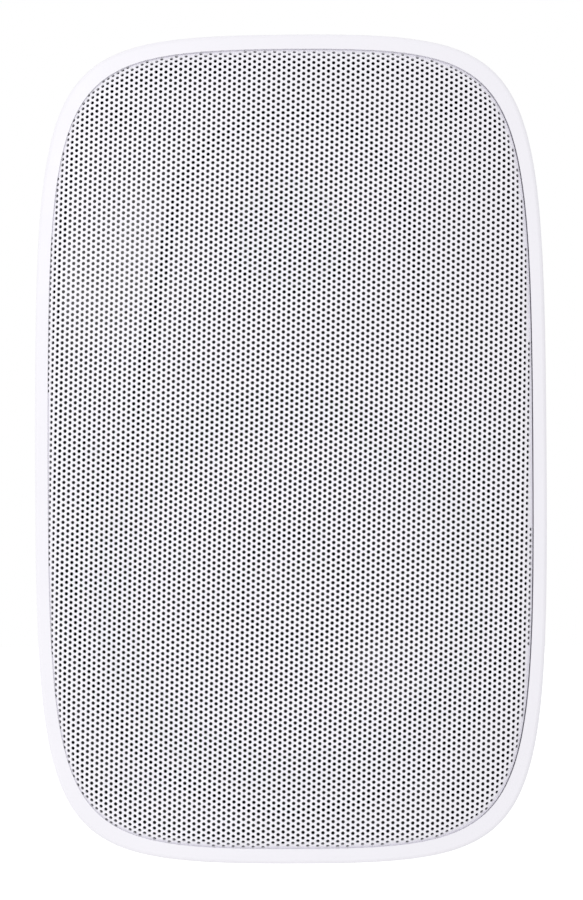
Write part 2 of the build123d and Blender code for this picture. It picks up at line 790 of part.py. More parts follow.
with BuildPart() as crossover_capacitors:
    capacitor_z = board_z - board_height / 2 + part_margin + capacitor_radius
    for side in (-1, 1):
        with BuildSketch(Plane.YZ.offset(side * part_column - capacitor_length / 2)):
            with Locations((-board_front - capacitor_radius, capacitor_z)):
                Circle(capacitor_radius)
        extrude(amount=capacitor_length)
finish(crossover_capacitors, "crossover_capacitors")

with BuildPart() as crossover_resistor:
    resistor_z = capacitor_z + capacitor_radius + part_gap + resistor_side / 2
    with BuildSketch(upright(board_front)):
        with Locations((part_column, resistor_z)):
            Rectangle(resistor_length, resistor_side)
    extrude(amount=resistor_side)
finish(crossover_resistor, "crossover_resistor")

with BuildPart() as wadding:
    with BuildSketch(upright(rear_inside)):
        RectangleRounded(wadding_width, wadding_height, wadding_round)
    extrude(amount=wadding_thickness)
finish(wadding, "wadding")

with BuildPart() as terminal_gasket:
    with BuildSketch(upright(flange_front)):
        with Locations((0, terminal_z)):
            RectangleRounded(cup_flange_width, cup_flange_height, cup_corner)
            RectangleRounded(
                cup_width + 2 * cup_play,
                cup_height + 2 * cup_play,
                cup_corner + cup_play,
                mode=Mode.SUBTRACT,
            )
        with Locations(*cup_screw_points):
            Circle(cup_screw_radius + screw_play, mode=Mode.SUBTRACT)
    extrude(amount=terminal_gasket_thickness)
finish(terminal_gasket, "terminal_gasket")

with BuildPart() as terminal_cup:
    with BuildSketch(upright(flange_rear)):
        with Locations((0, terminal_z)):
            RectangleRounded(cup_flange_width, cup_flange_height, cup_corner)
    extrude(amount=cup_wall)
    with BuildSketch(upright(flange_rear)):
        with Locations((0, terminal_z)):
            RectangleRounded(cup_width, cup_height, cup_corner)
    extrude(amount=cup_depth + cup_wall)
    with BuildSketch(upright(flange_rear)):
        with Locations((0, terminal_z)):
            RectangleRounded(cup_width - 2 * cup_wall, cup_height - 2 * cup_wall, cup_corner - cup_wall)
    extrude(amount=cup_depth, mode=Mode.SUBTRACT)
    bars(cup_floor, post_points, stud_radius + pilot_play, cup_wall, mode=Mode.SUBTRACT)
    bars(flange_rear, cup_screw_points, cup_screw_radius + screw_play, cup_wall, mode=Mode.SUBTRACT)
finish(terminal_cup, "terminal_cup")

with BuildPart() as terminal_screws:
    screws(flange_rear, cup_screw_points, cup_screw_length, cup_screw_radius, cup_screw_head_radius,
           cup_screw_head_height)
finish(terminal_screws, "terminal_screws")

with BuildPart() as terminal_studs:
    bars(stud_rear, post_points, stud_radius, stud_front - stud_rear)
    bars(collar_rear, post_points, collar_radius, collar_height)
finish(terminal_studs, "terminal_studs")

with BuildPart() as terminal_lock_nuts:
    with BuildSketch(upright(cup_floor + cup_wall)):
        with Locations(*post_points):
            RegularPolygon(lock_nut_flat / 2, 6, major_radius=False)
            Circle(stud_radius + pilot_play, mode=Mode.SUBTRACT)
    extrude(amount=lock_nut_height)
finish(terminal_lock_nuts, "terminal_lock_nuts")

for thumb_name, post_point in zip(("negative_thumb_nut", "positive_thumb_nut"), post_points):
    with BuildPart() as thumb_nut:
        with BuildSketch(upright(nut_rear)):
            with Locations(post_point):
                Circle(thumb_nut_radius)
                Circle(stud_radius + thumb_nut_play, mode=Mode.SUBTRACT)
                with PolarLocations(thumb_nut_radius, flute_count):
                    Circle(flute_radius, mode=Mode.SUBTRACT)
        extrude(amount=thumb_nut_length)
    finish(thumb_nut, thumb_name)
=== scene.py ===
# %% [markdown]
# # Dressing an outdoor patio speaker
#
# The construction of the speaker is finished: every piece has its real size and place. This lesson gives
# it its looks. A white moulded cabinet with a rolled rim holds a domed grille of perforated steel, and
# through thousands of small round holes a black baffle with a tweeter and a woofer shows darkly.
#
# All lengths are metres, in the frame of the construction: +X is to the right seen from the front, the
# front faces -Y, +Z is up, and the origin is the middle of the rear mounting pad.

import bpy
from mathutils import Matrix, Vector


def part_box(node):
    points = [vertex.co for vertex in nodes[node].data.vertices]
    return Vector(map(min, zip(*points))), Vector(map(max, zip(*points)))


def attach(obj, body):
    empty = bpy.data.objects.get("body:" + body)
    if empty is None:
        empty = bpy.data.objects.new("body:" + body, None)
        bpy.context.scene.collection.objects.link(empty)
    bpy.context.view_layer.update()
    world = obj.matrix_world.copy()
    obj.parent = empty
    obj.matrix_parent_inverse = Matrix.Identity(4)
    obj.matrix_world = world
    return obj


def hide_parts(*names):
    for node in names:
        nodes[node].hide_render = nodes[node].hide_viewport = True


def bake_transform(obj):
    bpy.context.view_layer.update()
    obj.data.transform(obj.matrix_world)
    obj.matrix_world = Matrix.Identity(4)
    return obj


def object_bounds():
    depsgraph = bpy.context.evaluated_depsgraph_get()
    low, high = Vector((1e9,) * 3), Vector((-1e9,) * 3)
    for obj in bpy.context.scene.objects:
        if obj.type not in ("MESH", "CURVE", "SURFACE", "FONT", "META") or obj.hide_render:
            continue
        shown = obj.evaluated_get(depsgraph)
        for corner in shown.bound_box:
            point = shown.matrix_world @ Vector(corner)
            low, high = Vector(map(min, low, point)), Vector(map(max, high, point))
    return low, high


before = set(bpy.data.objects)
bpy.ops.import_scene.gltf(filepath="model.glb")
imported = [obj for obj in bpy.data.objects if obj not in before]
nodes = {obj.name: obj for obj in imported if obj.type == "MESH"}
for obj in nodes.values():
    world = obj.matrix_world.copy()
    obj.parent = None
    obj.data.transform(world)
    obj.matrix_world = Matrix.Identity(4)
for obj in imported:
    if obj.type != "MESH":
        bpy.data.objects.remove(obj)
cad_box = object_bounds()

# %% Tools and units
from math import cos, pi, radians, sin

import bmesh
import bpy
import numpy as np
from mathutils import Quaternion, Vector
from mathutils.geometry import delaunay_2d_cdt
from mathutils.kdtree import KDTree

mm = 0.001
scene = bpy.context.scene


def size_of(node):
    """Width, depth and height of a construction piece."""
    low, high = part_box(node)
    return high - low


def front_of(node):
    """How far forward of the mounting pad a piece reaches."""
    return -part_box(node)[0].y


print("helpers: size_of, front_of")

# %% [markdown]
# ## Camera
#
# The picture was taken from about 0.8 m, a little to the right of the speaker and a little below its
# middle. That can be read off the hole pattern: a regular grid on a known curve shrinks with distance and
# turns with the view. A long lens at that distance gives the same gentle perspective.

# %% Place the camera
image_size = (583, 900)
camera_distance = 0.8
camera_right = radians(1.45)
camera_below = radians(1.5)
camera_roll = radians(-0.25)
sensor_long_side = 36.0
lens_in_pixels = 2293.3
aim_right_of_apex = 0.66 * mm
aim_below_apex = 1.05 * mm

grille_front = front_of("grille")
apex = Vector((0, -grille_front, 0))
aim = apex + Vector((aim_right_of_apex, 0, -aim_below_apex))
towards_camera = Vector((
    sin(camera_right) * cos(camera_below),
    -cos(camera_right) * cos(camera_below),
    -sin(camera_below),
))
camera_data = bpy.data.cameras.new("camera")
camera_data.sensor_width = sensor_long_side
camera_data.lens = lens_in_pixels * sensor_long_side / max(image_size)
camera = bpy.data.objects.new("camera", camera_data)
camera.location = apex + towards_camera * camera_distance
level = (aim - camera.location).to_track_quat("-Z", "Y")
camera.rotation_euler = (level @ Quaternion((0, 0, 1), camera_roll)).to_euler()
scene.collection.objects.link(camera)
scene.camera = camera
print("camera", [round(value, 4) for value in camera.location], "lens", round(camera_data.lens, 2))

# %% [markdown]
# ## Studio
#
# The speaker hangs in front of plain white. The world lights it evenly, like a white tent. Two soft lamps
# on the left give the forms a side: a wide one near the speaker's own height, and a small one from above,
# which glints on the black parts behind the holes. What the camera, a mirror or glass sees behind the
# speaker is white of strength 1, read from the light path, so the background adds no light. The floor is
# well below the speaker, which hangs on its rear pad; it keeps the shadow and is clear from underneath.

# %% Helpers for shader nodes
def link(tree, source, output, target, socket):
    """Join an output of one shader node to an input of another."""
    tree.links.new(source.outputs[output], target.inputs[socket])


def add_node(tree, kind, **settings):
    """Add a shader node; plain settings are its properties."""
    node = tree.nodes.new(kind)
    for name, value in settings.items():
        setattr(node, name, value)
    return node


def seen_directly(tree):
    """1 where a ray comes from the camera, a mirror or glass, and 0 for light itself."""
    path = add_node(tree, "ShaderNodeLightPath")
    mirrored = add_node(tree, "ShaderNodeMath", operation="MAXIMUM")
    link(tree, path, "Is Camera Ray", mirrored, 0)
    link(tree, path, "Is Glossy Ray", mirrored, 1)
    through = add_node(tree, "ShaderNodeMath", operation="MAXIMUM")
    link(tree, mirrored, "Value", through, 0)
    link(tree, path, "Is Transmission Ray", through, 1)
    return through


print("helpers: link, add_node, seen_directly")

# %% White tent
tent_strength = 0.84


def white_tent():
    """An even white world that looks pure white behind the speaker."""
    world = bpy.data.worlds.new("white_tent")
    world.use_nodes = True
    tree = world.node_tree
    background = tree.nodes["Background"]
    background.inputs["Color"].default_value = (1, 1, 1, 1)
    strength = add_node(tree, "ShaderNodeMapRange")
    strength.inputs["To Min"].default_value = tent_strength
    strength.inputs["To Max"].default_value = 1
    link(tree, seen_directly(tree), "Value", strength, "Value")
    link(tree, strength, "Result", background, "Strength")
    scene.world = world


white_tent()
scene.view_settings.view_transform = "Standard"
print("tent", tent_strength)

# %% Soft lamps
lamp_tint = (1.0, 0.995, 0.985)


def soft_lamp(name, place, size, watts):
    """A square lamp that faces the middle of the grille."""
    data = bpy.data.lights.new(name, "AREA")
    data.size = size
    data.energy = watts
    data.color = lamp_tint
    lamp = bpy.data.objects.new(name, data)
    lamp.location = place
    lamp.rotation_euler = (apex - lamp.location).to_track_quat("-Z", "Y").to_euler()
    scene.collection.objects.link(lamp)


soft_lamp("side_lamp", (-1.8, -1.64, 0.30), size=0.7, watts=3.3)
soft_lamp("upper_lamp", (-0.82, -1.84, 0.60), size=0.3, watts=5.5)
print("lamps", len(bpy.data.lights))

# %% Floor
floor_drop = 0.30
floor_size = 12.0
floor_lift = 0.45
floor_white = 0.9


def pale_floor():
    """A white floor that keeps the shadow and is clear from below."""
    material = bpy.data.materials.new("pale_floor")
    material.use_nodes = True
    tree = material.node_tree
    tree.nodes.clear()
    matt = add_node(tree, "ShaderNodeBsdfDiffuse")
    matt.inputs["Color"].default_value = (floor_white, floor_white, floor_white, 1)
    lift = add_node(tree, "ShaderNodeEmission")
    strength = add_node(tree, "ShaderNodeMath", operation="MULTIPLY")
    strength.inputs[1].default_value = floor_lift
    link(tree, seen_directly(tree), "Value", strength, 0)
    link(tree, strength, "Value", lift, "Strength")
    both = add_node(tree, "ShaderNodeAddShader")
    link(tree, matt, "BSDF", both, 0)
    link(tree, lift, "Emission", both, 1)
    facing = add_node(tree, "ShaderNodeNewGeometry")
    clear = add_node(tree, "ShaderNodeBsdfTransparent")
    side = add_node(tree, "ShaderNodeMixShader")
    link(tree, facing, "Backfacing", side, 0)
    link(tree, both, "Shader", side, 1)
    link(tree, clear, "BSDF", side, 2)
    end = add_node(tree, "ShaderNodeOutputMaterial")
    link(tree, side, "Shader", end, "Surface")
    half = floor_size / 2
    level = cad_box[0].z - floor_drop
    mesh = bpy.data.meshes.new("floor")
    corners = [(-half, -half, level), (half, -half, level), (half, half, level), (-half, half, level)]
    mesh.from_pydata(corners, [], [(0, 1, 2, 3)])
    mesh.materials.append(material)
    floor = bpy.data.objects.new("floor", mesh)
    scene.collection.objects.link(floor)
    print("floor", floor_drop, "m below the speaker")


pale_floor()

# %% [markdown]
# ## Effects that many finishes share
#
# Nothing real has one flat colour. Four small node groups hold what the finishes have in common, and each
# material places them with its own values: a slow drift of tone, a fine grain, the fine lines that a lathe
# or a drawing die leaves on metal, and the crossed threads of cloth. They read the piece's own coordinates,
# so they stay in place from every side.

# %% Helpers for node groups
noise_low, noise_high = 0.3, 0.7


def effect(name, inputs, outputs):
    """An empty node group with named sockets, and its two end nodes."""
    group = bpy.data.node_groups.new(name, "ShaderNodeTree")
    for label, kind, value in inputs:
        socket = group.interface.new_socket(label, in_out="INPUT", socket_type=kind)
        socket.default_value = value
    for label, kind in outputs:
        group.interface.new_socket(label, in_out="OUTPUT", socket_type=kind)
    return group, add_node(group, "NodeGroupInput"), add_node(group, "NodeGroupOutput")


def noise(tree, scale, detail, vector):
    """A noise pattern on the given coordinates; scale is a socket of another node, or a number."""
    pattern = add_node(tree, "ShaderNodeTexNoise")
    pattern.inputs["Detail"].default_value = detail
    tree.links.new(vector, pattern.inputs["Vector"])
    if isinstance(scale, (int, float)):
        pattern.inputs["Scale"].default_value = scale
    else:
        tree.links.new(scale, pattern.inputs["Scale"])
    return pattern


print("most noise lies between", noise_low, "and", noise_high)

# %% Slow drift of tone
drift_detail = 4
mix_light, mix_dark, mix_result = 6, 7, 2


def make_tone_drift():
    """Slow change between two tones of one colour."""
    group, start, end = effect(
        "tone_drift",
        [("Light", "NodeSocketColor", (1, 1, 1, 1)), ("Dark", "NodeSocketColor", (0, 0, 0, 1)),
         ("Scale", "NodeSocketFloat", 30.0)],
        [("Color", "NodeSocketColor")],
    )
    place = add_node(group, "ShaderNodeTexCoord")
    drift = noise(group, start.outputs["Scale"], drift_detail, place.outputs["Object"])
    spread = add_node(group, "ShaderNodeMapRange", interpolation_type="SMOOTHSTEP")
    spread.inputs["From Min"].default_value = noise_low
    spread.inputs["From Max"].default_value = noise_high
    link(group, drift, "Fac", spread, "Value")
    tone = add_node(group, "ShaderNodeMix", data_type="RGBA")
    link(group, spread, "Result", tone, "Factor")
    link(group, start, "Light", tone, mix_light)
    link(group, start, "Dark", tone, mix_dark)
    link(group, tone, mix_result, end, "Color")
    return group


tone_drift = make_tone_drift()
print("effect", tone_drift.name)

# %% Fine grain
grain_detail = 2
patch_scale, patch_detail = 60.0, 3


def make_fine_grain():
    """Small even grain as a height for the bump, and a roughness that drifts in wider patches."""
    group, start, end = effect(
        "fine_grain",
        [("Scale", "NodeSocketFloat", 1500.0), ("Smooth", "NodeSocketFloat", 0.35),
         ("Rough", "NodeSocketFloat", 0.5)],
        [("Height", "NodeSocketFloat"), ("Roughness", "NodeSocketFloat")],
    )
    place = add_node(group, "ShaderNodeTexCoord")
    grain = noise(group, start.outputs["Scale"], grain_detail, place.outputs["Object"])
    wide = noise(group, patch_scale, patch_detail, place.outputs["Object"])
    finish = add_node(group, "ShaderNodeMapRange")
    link(group, wide, "Fac", finish, "Value")
    finish.inputs["From Min"].default_value = noise_low
    finish.inputs["From Max"].default_value = noise_high
    link(group, start, "Smooth", finish, "To Min")
    link(group, start, "Rough", finish, "To Max")
    link(group, grain, "Fac", end, "Height")
    link(group, finish, "Result", end, "Roughness")
    return group


fine_grain = make_fine_grain()
print("effect", fine_grain.name)

# %% Turned lines
ring_waver, ring_detail = 3.0, 2.0
line_smooth, line_rough = 0.28, 0.42


def make_turned_lines():
    """Fine rings about an axis that runs front to back, as a lathe leaves them."""
    group, start, end = effect(
        "turned_lines",
        [("Rings", "NodeSocketFloat", 900.0)],
        [("Height", "NodeSocketFloat"), ("Shine", "NodeSocketFloat")],
    )
    place = add_node(group, "ShaderNodeTexCoord")
    rings = add_node(group, "ShaderNodeTexWave", wave_type="RINGS", rings_direction="Y")
    rings.inputs["Distortion"].default_value = ring_waver
    rings.inputs["Detail"].default_value = ring_detail
    link(group, place, "Object", rings, "Vector")
    link(group, start, "Rings", rings, "Scale")
    shine = add_node(group, "ShaderNodeMapRange")
    shine.inputs["To Min"].default_value = line_smooth
    shine.inputs["To Max"].default_value = line_rough
    link(group, rings, "Fac", shine, "Value")
    link(group, rings, "Fac", end, "Height")
    link(group, shine, "Result", end, "Shine")
    return group


turned_lines = make_turned_lines()
print("effect", turned_lines.name)

# %% Crossed threads
def make_cloth_weave():
    """Threads that cross at right angles, for woven parts."""
    group, start, end = effect(
        "cloth_weave",
        [("Threads", "NodeSocketFloat", 800.0)],
        [("Height", "NodeSocketFloat")],
    )
    place = add_node(group, "ShaderNodeTexCoord")
    crossed = add_node(group, "ShaderNodeMath", operation="MAXIMUM")
    for slot, direction in enumerate(("X", "Z")):
        threads = add_node(group, "ShaderNodeTexWave", bands_direction=direction)
        link(group, place, "Object", threads, "Vector")
        link(group, start, "Threads", threads, "Scale")
        link(group, threads, "Fac", crossed, slot)
    link(group, crossed, "Value", end, "Height")
    return group


cloth_weave = make_cloth_weave()
print("effect", cloth_weave.name)

# %% [markdown]
# ## Finishes
#
# Each finish of the record gets one material. A material is the shared effects with its own values and one
# Principled shader; what is the same all over is set on the shader itself.

# %% What every material has
finishes = {}


def surface(name, light, dark, drift_scale):
    """Start a finish whose colour drifts between two tones: its node tree and its shader."""
    material = bpy.data.materials.new(name)
    material.use_nodes = True
    tree = material.node_tree
    shader = tree.nodes["Principled BSDF"]
    tone = add_node(tree, "ShaderNodeGroup", node_tree=tone_drift)
    tone.inputs["Light"].default_value = (*light, 1)
    tone.inputs["Dark"].default_value = (*dark, 1)
    tone.inputs["Scale"].default_value = drift_scale
    link(tree, tone, "Color", shader, "Base Color")
    finishes[name] = material
    return tree, shader


def bump(tree, source, shader, depth):
    """Raise the surface by the height that an effect puts out."""
    relief = add_node(tree, "ShaderNodeBump")
    relief.inputs["Distance"].default_value = depth
    link(tree, source, "Height", relief, "Height")
    link(tree, relief, "Normal", shader, "Normal")
    return relief


print("helpers: surface, bump")

# %% [markdown]
# The baffle and the cone are seen only as glints through the holes, and the glints lie where a slightly
# bowed panel and a flared wall would send them. The construction has both flat and straight, so their
# shading is turned by that little.

# %% Shading of a bowed panel and a flared cone
def turn_shading(tree, relief, operation, change):
    """Change the surface's own direction and give it to the bump."""
    straight = add_node(tree, "ShaderNodeNewGeometry")
    bent = add_node(tree, "ShaderNodeVectorMath", operation=operation)
    link(tree, straight, "Normal", bent, 0)
    link(tree, change, "Vector", bent, 1)
    unit = add_node(tree, "ShaderNodeVectorMath", operation="NORMALIZE")
    link(tree, bent, "Vector", unit, 0)
    link(tree, unit, "Vector", relief, "Normal")


def slow_bow(tree, relief, across, upright):
    """Shade a flat panel as if it were bowed with these radii."""
    place = add_node(tree, "ShaderNodeTexCoord")
    turn = add_node(tree, "ShaderNodeVectorMath", operation="MULTIPLY")
    turn.inputs[1].default_value = (1 / across, 0, 1 / upright)
    link(tree, place, "Object", turn, 0)
    turn_shading(tree, relief, "ADD", turn)


def flare(tree, relief, inner, outer, flattest):
    """Shade the straight cone as if its wall flared, flatter and flatter from one radius to another."""
    place = add_node(tree, "ShaderNodeTexCoord")
    lowest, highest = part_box("woofer_cone")
    centred = add_node(tree, "ShaderNodeVectorMath", operation="SUBTRACT")
    centred.inputs[1].default_value = (lowest + highest) / 2
    link(tree, place, "Object", centred, 0)
    level = add_node(tree, "ShaderNodeVectorMath", operation="MULTIPLY")
    level.inputs[1].default_value = (1, 0, 1)
    link(tree, centred, "Vector", level, 0)
    radius = add_node(tree, "ShaderNodeVectorMath", operation="LENGTH")
    link(tree, level, "Vector", radius, 0)
    lean = add_node(tree, "ShaderNodeMapRange")
    lean.inputs["From Min"].default_value = inner
    lean.inputs["From Max"].default_value = outer
    lean.inputs["To Min"].default_value = 1.0
    lean.inputs["To Max"].default_value = flattest
    link(tree, radius, "Value", lean, "Value")
    share = add_node(tree, "ShaderNodeCombineXYZ")
    share.inputs["Y"].default_value = 1.0
    link(tree, lean, "Result", share, "X")
    link(tree, lean, "Result", share, "Z")
    turn_shading(tree, relief, "MULTIPLY", share)


print("helpers: slow_bow, flare")

# %% [markdown]
# Three families cover everything: moulded or painted surfaces with a grain, bare metal with tool lines, and
# cloth. The two tones come first, then how smooth and how rough a grained surface gets, then the size and
# the depth of the texture.

# %% Material families
wide_drift, metal_drift, cloth_drift = 25.0, 120.0, 200.0
plain_gloss = 0.5
cloth_rough = 0.75


def grained(name, light, dark, smooth, rough, grain, depth,
            drift_scale=wide_drift, bow=None, flared=None, gloss=plain_gloss):
    """Moulded plastic, paint, rubber, foam or ceramic: grain is the size of its texture."""
    tree, shader = surface(name, light, dark, drift_scale)
    texture = add_node(tree, "ShaderNodeGroup", node_tree=fine_grain)
    texture.inputs["Scale"].default_value = 1 / grain
    texture.inputs["Smooth"].default_value = smooth
    texture.inputs["Rough"].default_value = rough
    link(tree, texture, "Roughness", shader, "Roughness")
    shader.inputs["Specular IOR Level"].default_value = gloss
    relief = bump(tree, texture, shader, depth)
    if bow:
        slow_bow(tree, relief, *bow)
    if flared:
        flare(tree, relief, *flared)


def bare_metal(name, light, dark, line, depth):
    """Turned or drawn metal with fine lines."""
    tree, shader = surface(name, light, dark, metal_drift)
    shader.inputs["Metallic"].default_value = 1.0
    lines = add_node(tree, "ShaderNodeGroup", node_tree=turned_lines)
    lines.inputs["Rings"].default_value = 1 / line
    link(tree, lines, "Shine", shader, "Roughness")
    bump(tree, lines, shader, depth)


def woven(name, light, dark, thread, depth, rough=cloth_rough, gloss=plain_gloss):
    """Cloth stiffened with resin, or a loose pad of fibres."""
    tree, shader = surface(name, light, dark, cloth_drift)
    shader.inputs["Roughness"].default_value = rough
    shader.inputs["Specular IOR Level"].default_value = gloss
    threads = add_node(tree, "ShaderNodeGroup", node_tree=cloth_weave)
    threads.inputs["Threads"].default_value = 1 / thread
    bump(tree, threads, shader, depth)


print("families: grained, bare_metal, woven")

# %% One material for each finish
grained("white_shell", (0.905, 0.891, 0.943), (0.892, 0.878, 0.932),
        0.38, 0.46, 0.35 * mm, 0.006 * mm)
grained("white_grille", (0.917, 0.904, 0.957), (0.904, 0.891, 0.945),
        0.34, 0.44, 0.5 * mm, 0.006 * mm)
grained("black_baffle", (0.010, 0.010, 0.012), (0.008, 0.008, 0.010),
        0.19, 0.24, 0.4 * mm, 0.004 * mm, bow=(390 * mm, 680 * mm), gloss=0.62)
grained("black_plastic", (0.028, 0.028, 0.03), (0.02, 0.02, 0.022),
        0.34, 0.44, 0.35 * mm, 0.008 * mm)
grained("red_plastic", (0.47, 0.02, 0.02), (0.40, 0.014, 0.014),
        0.22, 0.32, 0.6 * mm, 0.004 * mm)
grained("foam_seal", (0.06, 0.06, 0.06), (0.035, 0.035, 0.035),
        0.85, 0.95, 0.5 * mm, 0.08 * mm, drift_scale=400.0)
grained("black_steel", (0.032, 0.032, 0.033), (0.026, 0.026, 0.027),
        0.30, 0.42, 0.8 * mm, 0.01 * mm)
grained("ferrite", (0.075, 0.075, 0.08), (0.05, 0.05, 0.055),
        0.5, 0.65, 0.3 * mm, 0.03 * mm, drift_scale=150.0)
grained("rubber_roll", (0.010, 0.010, 0.010), (0.008, 0.008, 0.008),
        0.45, 0.55, 0.5 * mm, 0.008 * mm, drift_scale=60.0, gloss=0.3)
grained("cone_plastic", (0.008, 0.008, 0.009), (0.006, 0.006, 0.007),
        0.24, 0.28, 0.7 * mm, 0.004 * mm, drift_scale=60.0, flared=(19 * mm, 42 * mm, 0.47), gloss=0.54)
grained("board", (0.05, 0.21, 0.10), (0.035, 0.16, 0.075),
        0.35, 0.5, 0.5 * mm, 0.01 * mm, drift_scale=150.0)
grained("capacitor_sleeve", (0.52, 0.36, 0.05), (0.46, 0.31, 0.04),
        0.25, 0.35, 0.8 * mm, 0.006 * mm)
grained("resistor_ceramic", (0.78, 0.76, 0.70), (0.66, 0.64, 0.58),
        0.7, 0.85, 0.4 * mm, 0.03 * mm, drift_scale=300.0)
bare_metal("coil_former", (0.74, 0.74, 0.74), (0.66, 0.66, 0.66),
           0.15 * mm, 0.003 * mm)
bare_metal("zinc_steel", (0.60, 0.60, 0.62), (0.50, 0.50, 0.52),
           0.12 * mm, 0.004 * mm)
bare_metal("motor_steel", (0.55, 0.55, 0.56), (0.45, 0.45, 0.46),
           0.2 * mm, 0.006 * mm)
bare_metal("copper_wire", (0.80, 0.42, 0.24), (0.66, 0.32, 0.17),
           0.3 * mm, 0.04 * mm)
bare_metal("brass", (0.80, 0.62, 0.32), (0.68, 0.50, 0.24),
           0.12 * mm, 0.004 * mm)
woven("soft_dome", (0.010, 0.010, 0.011), (0.007, 0.007, 0.008),
      0.35 * mm, 0.006 * mm, rough=0.4, gloss=0.25)
woven("spider_cloth", (0.50, 0.34, 0.14), (0.40, 0.26, 0.10),
      0.6 * mm, 0.06 * mm)
woven("wadding", (0.80, 0.80, 0.78), (0.66, 0.66, 0.64),
      1.4 * mm, 0.4 * mm)
print("finishes:", len(finishes))

# %% [markdown]
# Every construction piece carries the name of its finish on its own material slot, so one loop gives the
# whole assembly its finishes, inside and out.

# %% Dress the construction pieces
for piece in nodes.values():
    for slot in piece.material_slots:
        slot.material = finishes[slot.material.name.split(".")[0]]
print("dressed", len(nodes), "construction pieces")

# %% [markdown]
# ## Outline of the front
#
# Seen from the front, each quarter of the speaker runs in one sweep from the middle of a bowed side, round
# the corner, to the middle of a bowed end. One cubic curve does that: its two handles point straight up and
# straight across and reach almost to the corner of the box. The grille needs points along that outline, the
# distance of any point from it, and the direction straight out.
#
# The sheet springs out against the rim, so its outline is a little wider than the construction's. It sits
# pressed to the left and a little proud, which leaves a groove to be seen on the right.

# %% Outline that the rim and the grille share
corner_fullness = 0.97
quarter_steps = 3000


class Outline:
    """Closed outline of four swept quarters about the origin."""

    def __init__(self, width, height):
        half = np.array([width, height]) / 2
        share = np.linspace(0, 1, quarter_steps, endpoint=False)[:, None]
        rest = 1 - share
        start, end = half * (1, 0), half * (0, 1)
        rise, reach = half * (1, corner_fullness), half * (corner_fullness, 1)
        quarter = rest**3 * start + 3 * share * rest**2 * rise
        quarter = quarter + 3 * share**2 * rest * reach + share**3 * end
        across = np.concatenate([[end], quarter[:0:-1]]) * (-1, 1)
        upper = np.concatenate([quarter, across])
        self.points = np.concatenate([upper, -upper])
        along = np.roll(self.points, -1, axis=0) - np.roll(self.points, 1, axis=0)
        along /= np.linalg.norm(along, axis=1)[:, None]
        self.normals = np.stack([along[:, 1], -along[:, 0]], axis=1)
        self.tree = KDTree(len(self.points))
        for index, point in enumerate(self.points):
            self.tree.insert((*point, 0), index)
        self.tree.balance()

    def ring(self, offset, step):
        """Points along the outline moved outwards, about one step apart."""
        lengths = np.linalg.norm(np.diff(self.points, axis=0, append=self.points[:1]), axis=1)
        passed = np.cumsum(lengths)
        count = int(passed[-1] / step)
        chosen = np.searchsorted(passed, np.arange(count) * passed[-1] / count)
        return self.points[chosen] + self.normals[chosen] * offset

    def outwards(self, points):
        """How far inside the outline each point lies, and the direction straight out."""
        nearest = np.array([self.tree.find((*point, 0))[1] for point in points])
        outward = self.normals[nearest]
        return np.sum((self.points[nearest] - points) * outward, axis=1), outward


grille_spread = 0.46 * mm
grille_seat = np.array([-0.48, -0.80, 0.0]) * mm
grille_size = size_of("grille")
grille_outline = Outline(grille_size.x + 2 * grille_spread, grille_size.z + 2 * grille_spread)
print("grille", [round(value / mm, 1) for value in grille_size], "mm")

# %% [markdown]
# ## Grille
#
# The grille is one steel sheet, punched while flat with round holes in staggered columns, then pressed into
# a shallow dome with a soft shoulder, a tight fold and a flange that runs back to the baffle. A picture of
# holes would look flat from the side and would show nothing behind it, so every hole is cut. The sheet is
# laid out flat first: the holes and the outline go into one triangulation that keeps their edges, and the
# triangles inside the holes are dropped. Then each point is lifted onto the dome, and the ones past the
# start of the shoulder are wound round it, so the outer holes turn away from the eye as on the real sheet.

# %% Shape of the pressed sheet
sheet = 0.55 * mm
shoulder = 8.0 * mm
shoulder_turn = radians(40)
fold = 0.6 * mm
flange_flat = 6.0 * mm
face_bow_across = 700 * mm
face_bow_upright = 3500 * mm
flange_end = front_of("front_baffle")


def bowed(points):
    """Height of the domed face above its points, and its slope across and up."""
    across = face_bow_across - np.sqrt(face_bow_across**2 - points[:, 0] ** 2)
    radius = face_bow_upright - across
    height = grille_front - face_bow_upright + np.sqrt(radius**2 - points[:, 1] ** 2)
    slope = -points / np.array([face_bow_across, face_bow_upright])
    return height, slope


def shoulder_start(points, inside, outward):
    """Tilt of the sheet where the shoulder begins, and how far past that line each point lies."""
    edge = points + outward * inside[:, None]
    tilt = -np.arctan(np.sum(bowed(edge)[1] * outward, axis=1))
    width = shoulder * (sin(shoulder_turn) - np.sin(tilt)) + fold * (1 - sin(shoulder_turn))
    return tilt, width - inside


def pressed(points, inside, outward, depth):
    """Lift flat points onto the pressed sheet, this deep behind its face."""
    tilt, past = shoulder_start(points, inside, outward)
    past = np.maximum(past, 0)
    base = points - outward * past[:, None]
    height, slope = bowed(base)
    wound = past > 0
    eased = np.minimum(tilt + past / shoulder, shoulder_turn)
    beyond = past - shoulder * (shoulder_turn - tilt)
    turn = eased + np.clip(beyond / fold, 0, pi / 2 - shoulder_turn)
    reach = shoulder * (np.sin(eased) - np.sin(tilt)) + fold * (np.sin(turn) - np.sin(eased))
    fall = shoulder * (np.cos(tilt) - np.cos(eased)) + fold * (np.cos(eased) - np.cos(turn))
    out = np.where(wound, reach - depth * np.sin(turn), 0)
    fall = np.where(wound, fall + depth * np.cos(turn), depth)
    flange = np.clip((beyond - fold * (pi / 2 - shoulder_turn)) / flange_flat, 0, 1)
    height = height - fall
    height = height + (flange_end - height) * flange
    place = base + outward * out[:, None] + np.where(wound, 0, depth)[:, None] * slope
    return np.stack([place[:, 0], -height, place[:, 1]], axis=1)


print("sheet", sheet / mm, "mm, shoulder", shoulder / mm, "mm, fold", fold / mm, "mm")

